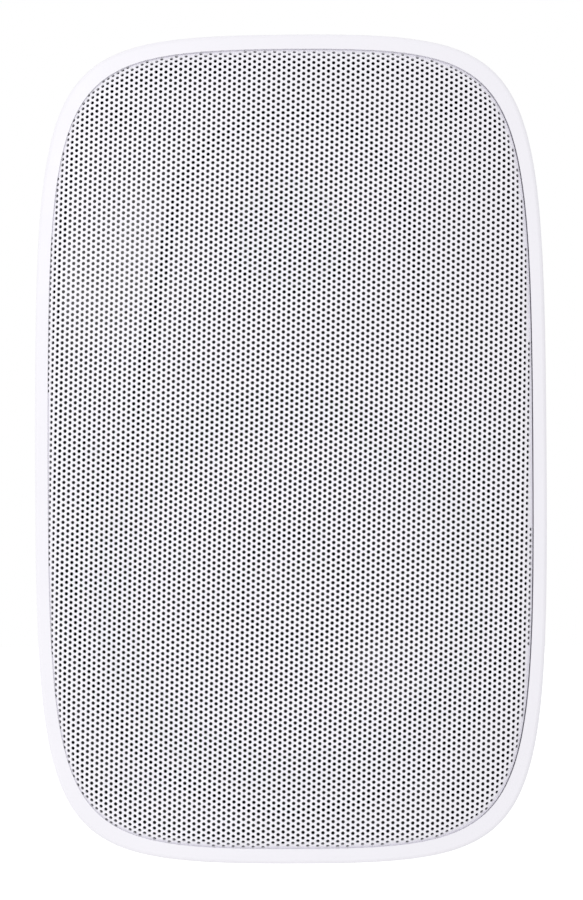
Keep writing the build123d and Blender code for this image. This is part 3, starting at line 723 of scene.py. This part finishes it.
# %% Lay out the holes
pitch = 2.003 * mm
hole_radius = 0.62 * mm
hole_sides = 12
pattern_turn = radians(1.43)
pattern_across = 0.90 * mm
pattern_up = -1.91 * mm
hole_margin = 0.55 * mm


def hole_centres():
    """Staggered columns over the whole sheet, up to the fold."""
    reach = int(max(grille_size) / pitch)
    rows, columns = np.meshgrid(np.arange(-reach, reach + 1), np.arange(-reach, reach + 1))
    down = np.array([-sin(pattern_turn), -cos(pattern_turn)])
    aside = np.array([-sin(pattern_turn - pi / 3), -cos(pattern_turn - pi / 3)])
    flat = pitch * (rows.reshape(-1, 1) * down + columns.reshape(-1, 1) * aside)
    flat = flat + (pattern_across, pattern_up)
    limit = np.array([grille_size.x, grille_size.z]) / 2 + shoulder
    flat = flat[(np.abs(flat) < limit).all(axis=1)]
    bows = np.array([face_bow_across, face_bow_upright])
    places = bows * np.sin(flat / bows)
    tilt, past = shoulder_start(places, *grille_outline.outwards(places))
    return places[past < shoulder * (shoulder_turn - tilt) - hole_margin]


centres = hole_centres()
print("holes:", len(centres))

# %% Triangulate the sheet round the holes
ring_step = 1.2 * mm
fold_rings = [radians(60), radians(75), radians(90)]
keep_inside = 1
same_point = 1e-9


def perforated_sheet():
    """Flat points and triangles of the sheet, and for each point its hole, or -1."""
    turns = np.arange(hole_sides) * 2 * pi / hole_sides - pattern_turn + pi / 2
    rim = hole_radius * np.stack([np.cos(turns), np.sin(turns)], axis=1)
    points = (centres[:, None, :] + rim).reshape(-1, 2)
    owner = np.repeat(np.arange(len(centres)), hole_sides)
    first = np.arange(len(points))
    follow = np.where(first % hole_sides == hole_sides - 1, first - hole_sides + 1, first + 1)
    edges = [np.stack([first, follow], axis=1)]
    fold_start = shoulder * (shoulder_turn - sin(shoulder_turn)) - fold * (1 - sin(shoulder_turn))
    offsets = [fold_start + fold * (turn - shoulder_turn) for turn in fold_rings]
    offsets.append(offsets[-1] + flange_flat)
    for offset in offsets:
        loop = grille_outline.ring(offset, ring_step)
        first = len(points) + np.arange(len(loop))
        edges.append(np.stack([first, np.roll(first, -1)], axis=1))
        points = np.concatenate([points, loop])
        owner = np.concatenate([owner, np.full(len(loop), -1)])
    outline = [list(map(int, first))]
    flat, _, triangles, source, _, _ = delaunay_2d_cdt(
        [Vector(point) for point in points], np.concatenate(edges).tolist(), outline,
        keep_inside, same_point
    )
    flat = np.array([tuple(point) for point in flat])
    owner = owner[[origin[0] for origin in source]]
    triangles = np.array(triangles)
    of_hole = owner[triangles]
    cut = (of_hole[:, 0] >= 0) & (of_hole[:, 0] == of_hole[:, 1]) & (of_hole[:, 0] == of_hole[:, 2])
    return flat, triangles[~cut], owner


flat_points, flat_triangles, hole_of = perforated_sheet()
flat_inside, flat_outward = grille_outline.outwards(flat_points)
print("sheet triangles:", len(flat_triangles))

# %% [markdown]
# A sheet has two faces and the walls of its holes. Each quarter of the grille becomes one mesh: the front
# triangles, the same triangles turned over behind them, and a wall along every open edge, which closes the
# holes, the rim and the joint between the quarters. The map for baking is drawn here too, because a tool
# would cut so many small walls into loose scraps: the two faces lie side by side, and each hole's wall lies
# in its own empty disc.

# %% Build the four quarters of the grille
map_size = 200 * mm
map_margin = 4 * mm
wall_rim, wall_middle = 0.9, 0.4
sharp_angle = radians(35)


def add_piece(name, points, faces, slot):
    """A smooth mesh piece with a finish."""
    mesh = bpy.data.meshes.new(name)
    mesh.from_pydata(points, [], faces)
    mesh.shade_smooth()
    mesh.set_sharp_from_angle(angle=sharp_angle)
    mesh.materials.append(finishes[slot])
    piece = bpy.data.objects.new(name, mesh)
    scene.collection.objects.link(piece)
    return piece


def open_edges(triangles, count):
    """Directed edges that belong to one triangle only."""
    edges = np.concatenate([triangles[:, [0, 1]], triangles[:, [1, 2]], triangles[:, [2, 0]]])
    key = np.sort(edges, axis=1)
    key = key[:, 0] * count + key[:, 1]
    _, where, times = np.unique(key, return_index=True, return_counts=True)
    return edges[where[times == 1]]


def draw_bake_map(mesh, plan, holes, triangles, edge, side):
    """Front and back side by side, and each hole's wall in the hole's own disc."""
    flat = plan * side + map_margin
    back = flat + (map_size / 2, 0)
    in_hole = (holes[edge[:, 0]] >= 0) & (holes[edge[:, 0]] == holes[edge[:, 1]])
    disc = centres[holes[edge[:, 0]]] * side + map_margin
    middle = np.where(in_hole[:, None], disc, flat[edge].mean(axis=1))
    rim = flat[edge] - middle[:, None]
    outer, inner = middle[:, None] + wall_rim * rim, middle[:, None] + wall_middle * rim
    walls = np.stack([outer[:, 1], outer[:, 0], inner[:, 0], inner[:, 1]], axis=1)
    places = [flat[triangles], back[triangles[:, ::-1]], walls]
    places = np.concatenate([place.reshape(-1, 2) for place in places]) / map_size
    mesh.uv_layers.new(name="OFBake").data.foreach_set("uv", places.astype(np.float32).ravel())


def grille_quarter(name, triangles, side):
    """One quarter of the sheet with both faces and all walls."""
    used, renumbered = np.unique(triangles, return_inverse=True)
    triangles = renumbered.reshape(-1, 3)
    plan, inside, outward = flat_points[used], flat_inside[used], flat_outward[used]
    count = len(plan)
    points = np.concatenate([pressed(plan, inside, outward, depth) for depth in (0, sheet)])
    points = points + grille_seat
    edge = open_edges(triangles, count)
    walls = np.stack([edge[:, 1], edge[:, 0], edge[:, 0] + count, edge[:, 1] + count], axis=1)
    faces = triangles.tolist() + (triangles[:, ::-1] + count).tolist() + walls.tolist()
    piece = add_piece(name, points, faces, "white_grille")
    draw_bake_map(piece.data, plan, hole_of[used], triangles, edge, side)
    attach(piece, "speaker")
    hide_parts("grille")
    return piece


middle = flat_points[flat_triangles].mean(axis=1)
for level, up in (("upper", 1), ("lower", -1)):
    for hand, across in (("left", -1), ("right", 1)):
        chosen = (middle[:, 1] * up > 0) & (middle[:, 0] * across > 0)
        quarter = grille_quarter(f"grille_{level}_{hand}", flat_triangles[chosen], (across, up))
        print(quarter.name, len(quarter.data.polygons), "faces")

# %% [markdown]
# ## Soft parts that move
#
# Three soft rings let the drivers move: the woofer's rubber half roll, the corrugated cloth spider behind
# its cone, and the tweeter's own small roll. Each is one ribbon, turned about the driver's axis, with its
# outer edge at the speaker and its inner edge at the cone or the dome.

# %% Turned solids and ribbons
fine_turn = 144


def turned(places, profile, segments=fine_turn, solid=False):
    """Points and faces of a profile of radii and heights, turned about front-to-back axes.

    A ring's profile closes on itself; a solid's profile runs from one flat end to the other.
    """
    radius, height = np.array(profile).T
    turns = np.arange(segments) * 2 * pi / segments
    points, faces = [], []
    for across, up in places:
        base = len(points) * radius.size * segments
        around = np.stack(np.broadcast_arrays(
            across + radius[:, None] * np.cos(turns),
            -height[:, None],
            up + radius[:, None] * np.sin(turns),
        ), axis=-1)
        points.append(around.reshape(-1, 3))
        ring, step = np.meshgrid(np.arange(radius.size - solid), np.arange(segments), indexing="ij")
        next_ring, next_step = (ring + 1) % radius.size, (step + 1) % segments
        corners = [(ring, step), (ring, next_step), (next_ring, next_step), (next_ring, step)]
        quads = np.stack([base + row * segments + column for row, column in corners], axis=-1)
        faces.extend(quads.reshape(-1, 4).tolist())
        if solid:
            end = base + np.arange(segments)
            faces += [end[::-1].tolist(), (end + (radius.size - 1) * segments).tolist()]
    return np.concatenate(points), faces


def ribbon(line, thickness):
    """Closed profile of a strip of this thickness about a line that runs outwards."""
    along = np.gradient(line, axis=0)
    up = np.stack([-along[:, 1], along[:, 0]], axis=1) / np.linalg.norm(along, axis=1)[:, None]
    return np.concatenate([line - up * thickness / 2, (line + up * thickness / 2)[::-1]])


def soft_ring(name, node, body, line, thickness, slot):
    """A ribbon turned in place of a construction piece, its outer edge at the speaker and its inner edge at
    a moving body.
    """
    low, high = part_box(node)
    axis = (low.z + high.z) / 2
    piece = add_piece(name, *turned([(0, axis)], ribbon(line, thickness)), slot)
    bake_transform(piece)
    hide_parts(node)
    print(name, "bends between speaker and", body)


print("helpers: turned, ribbon, soft_ring")

# %% The three soft rings
roll_points = 40
rubber, rubber_lip = 0.7 * mm, 3 * mm
cloth, cloth_lip, cloth_waves = 0.6 * mm, 2 * mm, 4
film, film_lip = 0.4 * mm, 0.2 * mm


def half_roll(node, inner, sheet_thickness, inner_lip):
    """Centre line of a half roll between two flat lips, read from a construction piece."""
    low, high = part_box(node)
    seat, outer = -high.y, (high.x - low.x) / 2
    radius = high.y - low.y
    middle = inner + radius
    bend = radius - sheet_thickness / 2
    level = seat + sheet_thickness / 2
    turns = np.linspace(pi, 0, roll_points)
    rise = bend - sheet_thickness / 2
    arc = np.stack([middle + bend * np.cos(turns), level + rise * np.sin(turns)], axis=1)
    return np.concatenate([[(inner - inner_lip, level)], arc, [(outer, level)]])


def corrugations(node, inner, waves, sheet_thickness, lip):
    """Centre line of a corrugated ring between two flat lips."""
    low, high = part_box(node)
    outer = (high.x - low.x) / 2
    swing = (high.y - low.y - sheet_thickness) / 2
    radius = np.linspace(inner + lip, outer - lip, roll_points * waves)
    wave = np.sin((radius - radius[0]) / (radius[-1] - radius[0]) * 2 * pi * waves)
    middle = -(low.y + high.y) / 2
    line = np.stack([radius, middle + swing * wave], axis=1)
    return np.concatenate([[(inner, middle)], line, [(outer, middle)]])


cone_radius = size_of("woofer_cone").x / 2
former_radius = size_of("woofer_coil_former").x / 2
dome_radius = size_of("tweeter_dome").x / 2
woofer_line = half_roll("woofer_surround", cone_radius, rubber, rubber_lip)
spider_line = corrugations("woofer_spider", former_radius, cloth_waves, cloth, cloth_lip)
dome_line = half_roll("tweeter_surround", dome_radius, film, film_lip)
soft_ring("woofer_roll", "woofer_surround", "cone", woofer_line, rubber, "rubber_roll")
soft_ring("cone_spider", "woofer_spider", "cone", spider_line, cloth, "spider_cloth")
soft_ring("dome_roll", "tweeter_surround", "dome", dome_line, film, "soft_dome")

# %% [markdown]
# ## Threads and screws
#
# What a hand or a driver bit touches has the detail that the construction leaves plain: thread in the brass
# inserts and on the binding posts, and crossed slots in the heads of screws. A thread is made as rings
# here. At this size nobody can see that they don't climb, and a ring closes on itself.

# %% Threaded inserts
small_turn = 48


def thread(inner, outer, start, end, pitch_length):
    """Zigzag of radii and heights between two radii."""
    turns = int((end - start) / pitch_length)
    heights = np.linspace(start, end, 2 * turns + 1)
    radii = np.where(np.arange(heights.size) % 2, outer, inner)
    return np.stack([radii, heights], axis=1)


insert_radius, insert_chamfer = 4.5 * mm, 0.3 * mm
bore_radius, groove_radius, mouth_radius = 2.5 * mm, 3.0 * mm, 3.2 * mm
mouth_depth, insert_pitch = 0.7 * mm, 1.0 * mm
insert_length = size_of("mount_inserts").y
insert_spread = size_of("mount_inserts").x / 2 - insert_radius
insert_bore = thread(bore_radius, groove_radius, mouth_depth, insert_length, insert_pitch)
insert_profile = np.concatenate([
    insert_bore[::-1],
    [(mouth_radius, 0.0), (insert_radius - insert_chamfer, 0.0)],
    [(insert_radius, insert_chamfer), (insert_radius, insert_length)],
])
insert_places = [(side * insert_spread, end * insert_spread) for side in (-1, 1) for end in (-1, 1)]
inserts = add_piece("threaded_inserts", *turned(insert_places, insert_profile, small_turn), "brass")
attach(inserts, "speaker")
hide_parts("mount_inserts")
print("threaded inserts:", len(insert_places))

# %% Threaded posts
post_low, post_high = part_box("terminal_studs")
collar_radius, collar_rear, collar_front = 5.5 * mm, 22 * mm, 24 * mm
post_radius, post_pitch = 2.0 * mm, 0.7 * mm
post_root = post_radius - 0.25 * mm
tip_radius, tip_length = post_radius - 0.5 * mm, 0.4 * mm
post_side = post_high.x - collar_radius
post_profile = np.concatenate([
    [(tip_radius, -post_high.y)],
    thread(post_root, post_radius, -post_high.y + tip_length, collar_rear, post_pitch),
    [(collar_radius, collar_rear), (collar_radius, collar_front)],
    thread(post_root, post_radius, collar_front, -post_low.y, post_pitch),
])
post_places = [(side * post_side, (post_low.z + post_high.z) / 2) for side in (-1, 1)]
posts = add_piece("threaded_posts", *turned(post_places, post_profile, small_turn, solid=True), "brass")
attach(posts, "speaker")
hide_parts("terminal_studs")
print("threaded posts:", len(post_places))

# %% [markdown]
# The screws of the baffle and of the terminal cup have a domed head with a crossed slot. The edge of the
# head and the shank are turned. The top is laid out flat round the cross, and what lies within it is sunk.

# %% Screws with crossed slots
head_turn = 40
head_rings = 6
head_flat, head_edge = 0.7, 0.55
slot_reach, slot_half_width, slot_sink = 0.6, 0.14, 0.6


def crossed_slot(radius):
    """Corners of a cross, anticlockwise."""
    arm, half = slot_reach * radius, slot_half_width * radius
    corners = [(arm, -half), (arm, half), (half, half), (half, arm), (-half, arm), (-half, half)]
    return np.array(corners + [(-across, -up) for across, up in corners])


def screw(across, up, radius, height, shank, seat, end):
    """Points and faces of one screw whose head stands on the seat and whose shank runs to the end."""
    way = np.sign(seat - end)
    tilts = np.linspace(0, pi / 2, head_rings)
    edge = [(radius * (head_flat + (1 - head_flat) * sin(tilt)),
             seat + way * height * (head_edge + (1 - head_edge) * cos(tilt))) for tilt in tilts]
    profile = [*edge, (radius, seat), (shank, seat), (shank, end)]
    points, faces = turned([(across, up)], profile, head_turn, solid=True)
    # The slotted top below takes the place of the flat one.
    faces.pop(-2)
    cross = crossed_slot(radius)
    top = np.concatenate([points[:head_turn, [0, 2]] - (across, up), cross])
    corner = np.arange(len(cross))
    rim = np.arange(head_turn)
    edges = [(int(a), int(b)) for a, b in zip(rim, np.roll(rim, -1))]
    edges += [(int(a) + head_turn, int(b) + head_turn) for a, b in zip(corner, np.roll(corner, -1))]
    _, _, triangles, source, _, _ = delaunay_2d_cdt(
        [Vector(point) for point in top], edges, [rim.tolist()], keep_inside, same_point
    )
    upper = np.concatenate([rim, len(points) + corner])
    sunk = len(points) + len(cross) + corner
    for triangle in triangles:
        ends = [source[index][0] for index in triangle]
        middle = np.abs(top[ends].mean(axis=0))
        inside = middle.max() < slot_reach * radius and middle.min() < slot_half_width * radius
        faces.append([int(sunk[index - head_turn]) if inside else int(upper[index]) for index in ends])
    level, floor = seat + way * height, seat + way * height * (1 - slot_sink)
    for first, second in zip(corner, np.roll(corner, -1)):
        faces.append([int(upper[head_turn + first]), int(upper[head_turn + second]),
                      int(sunk[second]), int(sunk[first])])
    rings = [np.insert(cross + (across, up), 1, -depth, axis=1) for depth in (level, floor)]
    return np.concatenate([points, *rings]), faces


def add_screws(name, node, places, slot, *sizes):
    """All screws of one kind, in place of the plain ones."""
    points, faces = [], []
    for across, up in places:
        made, joined = screw(across, up, *sizes)
        base = sum(map(len, points))
        points.append(made)
        faces += [[base + index for index in face] for face in joined]
    piece = add_piece(name, np.concatenate(points), faces, slot)
    shape = bmesh.new()
    shape.from_mesh(piece.data)
    bmesh.ops.recalc_face_normals(shape, faces=shape.faces)
    shape.to_mesh(piece.data)
    shape.free()
    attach(piece, "speaker")
    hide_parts(node)
    print(name, len(places))


print("helpers: crossed_slot, screw, add_screws")

# %% Screws of the baffle
baffle_head, baffle_head_height, baffle_shank = 3.8 * mm, 2.4 * mm, 1.9 * mm
screw_low, screw_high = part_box("baffle_screws")
baffle_side = screw_high.x - baffle_head
baffle_end_side, baffle_end = 58.5 * mm, screw_high.z - baffle_head
baffle_places = [(side * baffle_side, 0) for side in (-1, 1)]
baffle_places += [(side * baffle_end_side, end * baffle_end) for side in (-1, 1) for end in (-1, 1)]
baffle_seat = -screw_low.y - baffle_head_height
add_screws("baffle_crossed_screws", "baffle_screws", baffle_places, "black_steel",
           baffle_head, baffle_head_height, baffle_shank, baffle_seat, -screw_high.y)

# %% Screws of the terminal cup
cup_head, cup_head_height, cup_shank = 2.6 * mm, 1.2 * mm, 1.4 * mm
cup_low, cup_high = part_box("terminal_screws")
cup_side = cup_high.x - cup_head
cup_ends = (cup_low.z + cup_head, cup_high.z - cup_head)
cup_places = [(side * cup_side, end) for side in (-1, 1) for end in cup_ends]
cup_seat = -cup_high.y + cup_head_height
add_screws("cup_crossed_screws", "terminal_screws", cup_places, "zinc_steel",
           cup_head, cup_head_height, cup_shank, cup_seat, -cup_low.y)
